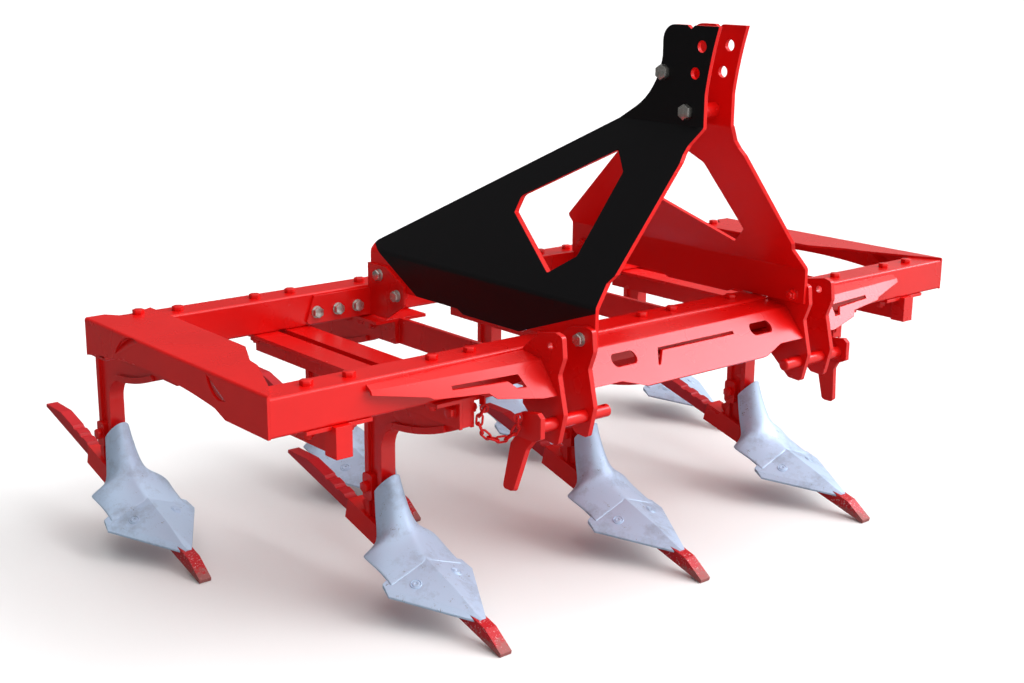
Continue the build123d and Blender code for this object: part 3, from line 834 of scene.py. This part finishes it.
@dataclass
class MastFittings:
    """Zinc bolts of the mast plates, of their feet and of the ears of the hitch plates.

    Places along Y are measured from the front tube's middle.
    """

    paints: Paints
    places: Places
    leaf_bolts: tuple[Pair, ...] = ((-0.044, 1.159), (-0.116, 1.079))
    foot_side_bolts: tuple[Pair, ...] = ((0.610, 0.637), (0.537, 0.597))
    foot_front_bolts: tuple[float, ...] = (0.389, 0.446, 0.507)
    foot_front_height: float = 0.559
    head: HexBolt = HexBolt(across=0.030, height=0.0130)
    nut: HexBolt = HexBolt(across=0.030, height=0.0160, washer=0.0185, thread=0.010, thread_length=0.008)

    def build_side(self, side: str, sign: int) -> None:
        """Add the bolts of one side.

        Args:
            side: name of the side.
            sign: -1 for the left and 1 for the right.
        """
        outward = Vector((sign, 0.0, 0.0))
        zinc = Piece(f"mast_bolts_{side}", self.paints.zinc, Slot.SILVER)
        red = Piece(f"mast_nuts_{side}", self.paints.red, Slot.RED)
        far = FAR * outward
        leaf = Surface(f"mast_plate_{side}")
        foot = Surface(f"mast_foot_{side}")
        both = Surface(f"mast_plate_{side}", f"mast_foot_{side}")
        for behind, height in self.leaf_bolts:
            seat, _ = leaf.hit(far + Vector((0.0, self.places.front_y + behind, height)), -outward)
            (self.head if sign < 0 else self.nut).add_to(zinc.bm, seat, outward)
        for behind, height in self.foot_side_bolts:
            line = Vector((0.0, self.places.front_y + behind, height))
            seat, _ = foot.hit(far + line, -outward)
            SMALL_HEAD.add_to(zinc.bm, seat, outward)
            inner, _ = both.hit(line, outward)
            SMALL_NUT.add_to(red.bm, inner, -outward)
        for x in self.foot_front_bolts:
            seat, _ = foot.hit(Vector((sign * x, self.places.front_y, self.foot_front_height)), BACK)
            SMALL_HEAD.add_to(zinc.bm, seat, -BACK)
        behind, height = EAR_BOLT
        inner, _ = leaf.hit(Vector((0.0, self.places.front_y + behind, height)), outward)
        SMALL_NUT.add_to(red.bm, inner, -outward)
        zinc.fix()
        red.fix()

    def build(self) -> None:
        """Add the bolts of both sides."""
        for side, sign in SIDES:
            self.build_side(side, sign)


@dataclass
class HitchFittings:
    """Welds of the clevis plates, their bolts and the smooth links of the tether chains.

    The plates are found from points between them: one ahead of the tube and below its top, and one
    above the ear's bolt hole.
    """

    paints: Paints
    places: Places
    between: float = 0.39
    ahead: float = 0.012
    below_top: float = 0.03
    above_hole: float = 0.013
    weld: WeldBead = WeldBead(0.0045)
    weld_end: float = 0.006
    wire: float = 0.0050
    wire_sides: int = 10
    link_steps: int = 32

    def plates(self, side: str, sign: int) -> None:
        """Weld a clevis to the tube and bolt its ear to the mast.

        Args:
            side: name of the side.
            sign: -1 for the left and 1 for the right.
        """
        welds = Piece(f"hitch_welds_{side}", self.paints.red, Slot.RED)
        bolt = Piece(f"hitch_bolt_{side}", self.paints.zinc, Slot.SILVER)
        plates = Surface(f"hitch_plates_{side}")
        outward = Vector((sign, 0.0, 0.0))
        x = sign * self.between
        face = self.places.front_y - self.places.half_tube
        middle = Vector((x, face - self.ahead, self.places.tube_top - self.below_top))
        for heading in (outward, -outward):
            seat, _ = plates.hit(middle, heading)
            low = Vector((seat.x, face, self.places.tube_bottom + self.weld_end))
            high = Vector((seat.x, face, self.places.tube_top - self.weld_end))
            self.weld.add_to(welds.bm, low, high)
        behind, height = EAR_BOLT
        ear = Vector((x, self.places.front_y + behind, height + self.above_hole))
        seat, _ = plates.hit(ear, -outward)
        seat.z = height
        SMALL_HEAD.add_to(bolt.bm, seat, outward)
        welds.fix()
        bolt.fix()

    def link_axes(self, points: np.ndarray) -> tuple[Vector, Vector, Vector, float, float]:
        """Find how one link of the CAD chain lies.

        Args:
            points: the link's points.

        Returns:
            Its middle, its long and wide directions, its length and its width.
        """
        middle = points.mean(axis=0)
        _, _, axes = np.linalg.svd(points - middle, full_matrices=False)
        spans = (points - middle) @ axes.T
        centre = middle + (spans.max(axis=0) + spans.min(axis=0)) / 2 @ axes
        sizes = spans.max(axis=0) - spans.min(axis=0)
        return Vector(centre), Vector(axes[0]), Vector(axes[1]), float(sizes[0]), float(sizes[1])

    def add_link(self, bm: bmesh.types.BMesh, centre: Vector, along: Vector, across: Vector,
                 length: float, width: float) -> None:
        """Add one round-wire link.

        Args:
            bm: mesh to add it to.
            centre: the link's middle.
            along: its long direction.
            across: its wide direction.
            length: its outer length.
            width: its outer width.
        """
        radius = self.wire / 2
        bend = width / 2 - radius
        run = length / 2 - radius - bend
        normal = along.cross(across)
        rings = []
        for step in range(self.link_steps):
            turn = TURN * (step + 0.5) / self.link_steps
            out = along * math.cos(turn) + across * math.sin(turn)
            middle = centre + along * math.copysign(run, math.cos(turn)) + out * bend
            rings.append(add_ring(bm, middle, out * radius, normal * radius, self.wire_sides))
        for ring, following in zip(rings, rings[1:] + rings[:1]):
            bridge(bm, following, ring)

    def links(self, node: bpy.types.Object) -> list[np.ndarray]:
        """Part a CAD chain into its links.

        Args:
            node: the chain's node.

        Returns:
            The points of each link.
        """
        source = bmesh.new()
        source.from_mesh(node.data)
        bmesh.ops.remove_doubles(source, verts=source.verts[:], dist=SAME_PLACE)
        links = []
        seen = set()
        for first in source.verts:
            if first in seen:
                continue
            seen.add(first)
            link = [first]
            for vertex in link:
                near = [edge.other_vert(vertex) for edge in vertex.link_edges]
                fresh = [other for other in near if other not in seen]
                seen.update(fresh)
                link.extend(fresh)
            links.append(np.array([vertex.co for vertex in link]))
        source.free()
        return links

    def chain(self, side: str) -> None:
        """Build a smooth chain over the CAD links, and hide the CAD chain.

        Args:
            side: name of the side.
        """
        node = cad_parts[f"tether_chain_{side}"]
        piece = Piece(f"smooth_chain_{side}", self.paints.red, Slot.RED)
        for points in self.links(node):
            link = self.link_axes(points)
            self.add_link(piece.bm, *link)
        made = piece.make()
        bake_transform(made)
        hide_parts(node.name)

    def build(self) -> None:
        """Add the fittings of both sides."""
        for (side, sign), body in zip(SIDES, (Body.PIN_LEFT, Body.PIN_RIGHT)):
            self.plates(side, sign)
            self.chain(side)


@dataclass
class TineFittings:
    """Bolts of one tine: through its holder, through its boss and through the wings of its share.

    Places along Y are measured from the tine's own middle under its tube.
    """

    paints: Paints
    places: Places
    arm_bolts: tuple[Pair, ...] = ((-0.030, 0.030), (0.075, 0.030))
    boss_bolt: Pair = (0.274, 0.2465)
    wing_bolt: Pair = (0.055, 0.052)
    plough_radius: float = 0.0135
    plough_profile: tuple[Pair, ...] = (
        (0.0, 0.0004), (0.20, 0.0004), (0.27, 0.0020), (0.58, 0.0020), (0.66, 0.0004), (0.74, 0.0004),
        (0.80, 0.0018), (0.95, 0.0014), (1.0, -0.0015),
    )
    plough_steps: int = 32
    beside_arm: float = 0.03
    boss_head: HexBolt = HexBolt(across=0.024, height=0.0120)
    boss_nut: HexBolt = HexBolt(across=0.024, height=0.0130, thread=0.008, thread_length=0.005)

    def plough_bolt(self, bm: bmesh.types.BMesh, seat: Vector, normal: Vector) -> None:
        """Add a plough bolt: a round head almost flush with the share, with a ring around it.

        Args:
            bm: mesh to add it to.
            seat: where its axis meets the share.
            normal: the share's direction there.
        """
        place = Matrix.Translation(seat) @ normal.to_track_quat("Z", "Y").to_matrix().to_4x4()
        points = [bm.verts.new(place @ Vector((self.plough_radius * out, 0.0, up)))
                  for out, up in self.plough_profile]
        edges = [bm.edges.new(pair) for pair in zip(points, points[1:])]
        bmesh.ops.spin(bm, geom=points + edges, cent=seat, axis=normal, angle=TURN,
                       steps=self.plough_steps, use_merge=True)

    def build(self, number: int) -> None:
        """Add the bolts of one tine.

        Args:
            number: the tine, counted from the left.
        """
        middle = self.places.tine(number)
        red = Piece(f"tine_bolts_{number}", self.paints.red, Slot.RED)
        holder = Surface(f"tine_holder_{number}")
        tine = Surface(f"tine_{number}")
        for behind, below in self.arm_bolts:
            for sign, bolt in ((-1, SMALL_HEAD), (1, SMALL_NUT)):
                outward = Vector((sign, 0.0, 0.0))
                start = middle + self.beside_arm * outward + Vector((0.0, behind, -below))
                seat, _ = holder.hit(start, -outward)
                bolt.add_to(red.bm, seat, outward)
        behind, height = self.boss_bolt
        for sign, bolt in ((-1, self.boss_head), (1, self.boss_nut)):
            outward = Vector((sign, 0.0, 0.0))
            start = Vector((middle.x, middle.y + behind, height)) + FAR * outward
            seat, _ = tine.hit(start, -outward)
            bolt.add_to(red.bm, seat, outward)
        red.fix()
        silver = Piece(f"share_bolts_{number}", self.paints.silver, Slot.SILVER)
        share = Surface(f"share_{number}")
        out, behind = self.wing_bolt
        for sign in (-1, 1):
            start = Vector((middle.x + sign * out, middle.y + behind, FAR))
            seat, normal = share.hit(start, DOWN)
            self.plough_bolt(silver.bm, seat, normal)
        silver.fix()


@dataclass
class CastBody:
    """Cast shovel body: a roof over the back of the share that rises into a deep collar at the shank.

    Each row across the sheet gives the ridge's place behind the tine's middle and its height, the half
    width, the edges' place and height, and how round the row is: 0 for a roof, 1 for half a pipe.
    """

    paints: Paints
    places: Places
    columns: int = 12
    sheet: float = 0.007
    rim_crease: float = 0.55
    smooth_levels: int = 2
    pad_edge: float = 0.002
    pad_size: Triple = (0.028, 0.034, 0.030)
    pad_place: Pair = (0.2105, 0.240)
    rows: tuple[tuple[float, ...], ...] = (
        (0.0845, 0.1250, 0.0970, 0.0845, 0.0898, 0.0),
        (0.0880, 0.1278, 0.0970, 0.0885, 0.0925, 0.0),
        (0.1060, 0.1370, 0.0950, 0.1100, 0.1005, 0.1),
        (0.1220, 0.1475, 0.0960, 0.1370, 0.1100, 0.25),
        (0.1350, 0.1585, 0.0990, 0.1640, 0.1180, 0.4),
        (0.1450, 0.1690, 0.1010, 0.1830, 0.1240, 0.5),
        (0.1510, 0.1765, 0.0970, 0.1890, 0.1262, 0.55),
        (0.1570, 0.1850, 0.0690, 0.1940, 0.1360, 0.65),
        (0.1640, 0.1960, 0.0520, 0.2010, 0.1470, 0.8),
        (0.1740, 0.2150, 0.0440, 0.2140, 0.1660, 0.9),
        (0.1850, 0.2400, 0.0375, 0.2270, 0.1950, 1.0),
        (0.1940, 0.2650, 0.0330, 0.2350, 0.2220, 1.0),
        (0.2000, 0.2860, 0.0305, 0.2400, 0.2430, 1.0),
        (0.2010, 0.2890, 0.0300, 0.2405, 0.2460, 1.0),
    )

    def point(self, row: tuple[float, ...], across: float) -> Vector:
        """Place one point of a row.

        Args:
            row: the row's numbers.
            across: -1 at the left edge, 0 on the ridge and 1 at the right edge.

        Returns:
            The point, measured from the tine's middle at the ground.
        """
        ridge_y, ridge_z, half_width, edge_y, edge_z, roundness = row
        share = abs(across)
        turn = share * math.pi / 2
        out = share + roundness * (math.sin(turn) - share)
        fall = share + roundness * (1.0 - math.cos(turn) - share)
        return Vector((math.copysign(half_width * out, across), ridge_y + (edge_y - ridge_y) * fall,
                       ridge_z + (edge_z - ridge_z) * fall))

    def build(self, number: int) -> None:
        """Build the body of one tine over its CAD solid, and the pad that holds it to the shank.

        Args:
            number: the tine, counted from the left.
        """
        middle = self.places.tine(number)
        middle.z = 0.0
        piece = Piece(f"cast_body_{number}", self.paints.silver, Slot.SILVER, sharp=math.pi)
        last = len(self.rows) - 1
        bmesh.ops.create_grid(piece.bm, x_segments=self.columns, y_segments=last, size=1.0)
        for vertex in piece.bm.verts:
            row = self.rows[round((vertex.co.y + 1.0) / 2.0 * last)]
            vertex.co = middle + self.point(row, vertex.co.x)
        made = piece.fix()
        wall = made.modifiers.new("wall", "SOLIDIFY")
        wall.thickness = self.sheet
        wall.offset = -1.0
        wall.edge_crease_outer = self.rim_crease
        wall.edge_crease_inner = self.rim_crease
        smooth = made.modifiers.new("smooth", "SUBSURF")
        smooth.levels = self.smooth_levels
        smooth.render_levels = self.smooth_levels
        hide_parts(f"shovel_body_{number}")
        pad = Piece(f"body_pad_{number}", self.paints.silver, Slot.SILVER)
        place = Matrix.Translation(middle + Vector((0.0, *self.pad_place)))
        bmesh.ops.create_cube(pad.bm, size=1.0, matrix=place @ Matrix.Diagonal((*self.pad_size, 1.0)))
        bmesh.ops.bevel(pad.bm, geom=pad.bm.edges[:], offset=self.pad_edge, segments=BEVEL_SEGMENTS,
                        profile=0.5, affect="EDGES", material=-1)
        pad.fix()


@dataclass
class Studio:
    """Floor, lights and the camera of the photograph.

    Sides are directions from the machine to a light, and places along Y start at the front tube's middle.
    The ambient light grows from its first to its second strength towards the bright side.
    """

    tube_y: float
    camera_place: Triple = (-2.4268, -2.3689, 1.4175)
    azimuth: float = -0.699
    elevation: float = 0.256
    roll: float = 0.009
    focal_pixels: float = 1505.0
    sensor: float = 36.0
    floor_half: float = 90.0
    floor_gap: float = 0.001
    bright_side: Triple = (0.55, -0.65, 0.55)
    ambient: Pair = (0.14, 1.35)
    ambient_span: Pair = (-0.15, 0.95)
    key_strength: float = 1.65
    key_spread: float = 45.0
    top_side: Triple = (0.1, -0.3, 1.0)
    top_strength: float = 1.1
    top_spread: float = 70.0
    panel_side: Triple = (0.70, -0.37, 0.60)
    panel_along: Triple = (0.46, 0.32, -0.32)
    panel_distance: float = 5.0
    panel_size: Pair = (4.4, 1.7)
    panel_energy: float = 170.0
    panel_colour: Triple = (0.85, 0.88, 1.0)

    def add_camera(self) -> None:
        """Place the camera where the photograph was taken from."""
        data = bpy.data.cameras.new("photo_camera")
        data.sensor_width = self.sensor
        data.lens = self.sensor * self.focal_pixels / PHOTO_WIDTH
        camera = bpy.data.objects.new("photo_camera", data)
        level = math.cos(self.elevation)
        back = Vector((math.sin(self.azimuth) * level, -math.cos(self.azimuth) * level,
                       math.sin(self.elevation)))
        right = Vector((math.cos(self.azimuth), math.sin(self.azimuth), 0.0))
        turn = Matrix((right, back.cross(right), back)).transposed().to_4x4()
        spin = Matrix.Rotation(self.roll, 4, "Z")
        place = Vector(self.camera_place) + Vector((0.0, self.tube_y, 0.0))
        camera.matrix_world = Matrix.Translation(place) @ turn @ spin
        bpy.context.scene.collection.objects.link(camera)
        bpy.context.scene.camera = camera

    def add_floor(self) -> None:
        """Lay a plain pale floor under the points."""
        bm = bmesh.new()
        bmesh.ops.create_grid(bm, x_segments=1, y_segments=1, size=self.floor_half)
        mesh = bpy.data.meshes.new("studio_floor")
        bm.to_mesh(mesh)
        bm.free()
        mesh.materials.append(StudioFloor().material())
        floor = bpy.data.objects.new("studio_floor", mesh)
        floor.location.z = cad_box[0].z - self.floor_gap
        floor.visible_glossy = False
        bpy.context.scene.collection.objects.link(floor)

    def add_sun(self, name: str, heading: Triple, strength: float, spread: float) -> None:
        """Add even light from one direction, so that the floor is as pale far off as it is near.

        Args:
            name: the lamp's name.
            heading: direction from the machine to the light.
            strength: its strength.
            spread: angle that the light seems to fill, in degrees.
        """
        data = bpy.data.lights.new(name, "SUN")
        data.energy = strength
        data.angle = math.radians(spread)
        lamp = bpy.data.objects.new(name, data)
        lamp.rotation_euler = Vector(heading).to_track_quat("Z", "Y").to_euler()
        lamp.visible_glossy = False
        bpy.context.scene.collection.objects.link(lamp)

    def add_panel(self) -> None:
        """Hang a pale panel that shows only in the gloss, as the covers and collars mirror the sky."""
        data = bpy.data.lights.new("sky_panel", "AREA")
        data.shape = "RECTANGLE"
        data.size, data.size_y = self.panel_size
        data.color = self.panel_colour
        data.energy = self.panel_energy
        panel = bpy.data.objects.new("sky_panel", data)
        heading = Vector(self.panel_side).normalized()
        across = heading.cross(Vector(self.panel_along)).normalized()
        turn = Matrix((across.cross(heading), across, heading)).transposed().to_4x4()
        place = heading * self.panel_distance + Vector((0.0, self.tube_y, 0.0))
        panel.matrix_world = Matrix.Translation(place) @ turn
        panel.visible_camera = False
        panel.visible_diffuse = False
        bpy.context.scene.collection.objects.link(panel)

    def add_world(self) -> None:
        """Light everything softly from the bright side, with a white background for the camera."""
        world = bpy.data.worlds.new("studio_world")
        world.use_nodes = True
        tree = world.node_tree
        tree.nodes.clear()
        heading = tree.nodes.new("ShaderNodeTexCoord")
        towards = tree.nodes.new("ShaderNodeVectorMath")
        towards.operation = "DOT_PRODUCT"
        towards.inputs[1].default_value = Vector(self.bright_side).normalized()
        tree.links.new(heading.outputs["Generated"], towards.inputs[0])
        strength = tree.nodes.new("ShaderNodeMapRange")
        strength.interpolation_type = "SMOOTHSTEP"
        limits = (*self.ambient_span, *self.ambient)
        for name, limit in zip(("From Min", "From Max", "To Min", "To Max"), limits):
            strength.inputs[name].default_value = limit
        tree.links.new(towards.outputs["Value"], strength.inputs["Value"])
        path = tree.nodes.new("ShaderNodeLightPath")
        seen = tree.nodes.new("ShaderNodeMix")
        seen.inputs["B"].default_value = 1.0
        tree.links.new(path.outputs["Is Camera Ray"], seen.inputs["Factor"])
        tree.links.new(strength.outputs["Result"], seen.inputs["A"])
        background = tree.nodes.new("ShaderNodeBackground")
        background.inputs["Color"].default_value = (1.0, 1.0, 1.0, 1.0)
        tree.links.new(seen.outputs["Result"], background.inputs["Strength"])
        output = tree.nodes.new("ShaderNodeOutputWorld")
        tree.links.new(background.outputs["Background"], output.inputs["Surface"])
        bpy.context.scene.world = world

    def build(self) -> None:
        """Set up the whole studio."""
        self.add_camera()
        self.add_floor()
        self.add_world()
        self.add_panel()
        self.add_sun("key_light", self.bright_side, self.key_strength, self.key_spread)
        self.add_sun("top_light", self.top_side, self.top_strength, self.top_spread)
        bpy.context.scene.view_settings.view_transform = "Standard"


def main() -> None:
    """Build the looks in order."""
    logging.basicConfig(level=logging.INFO, format="%(message)s")
    places = Places.read()
    Studio(places.front_y).build()
    paints = Paints(places.front_y)
    CadSurfaces(paints).dress()
    FrameFittings(paints, places).build()
    MastFittings(paints, places).build()
    HitchFittings(paints, places).build()
    tines = TineFittings(paints, places)
    bodies = CastBody(paints, places)
    for number in range(1, TINE_COUNT + 1):
        tines.build(number)
        bodies.build(number)


if __name__ == "__main__":
    main()
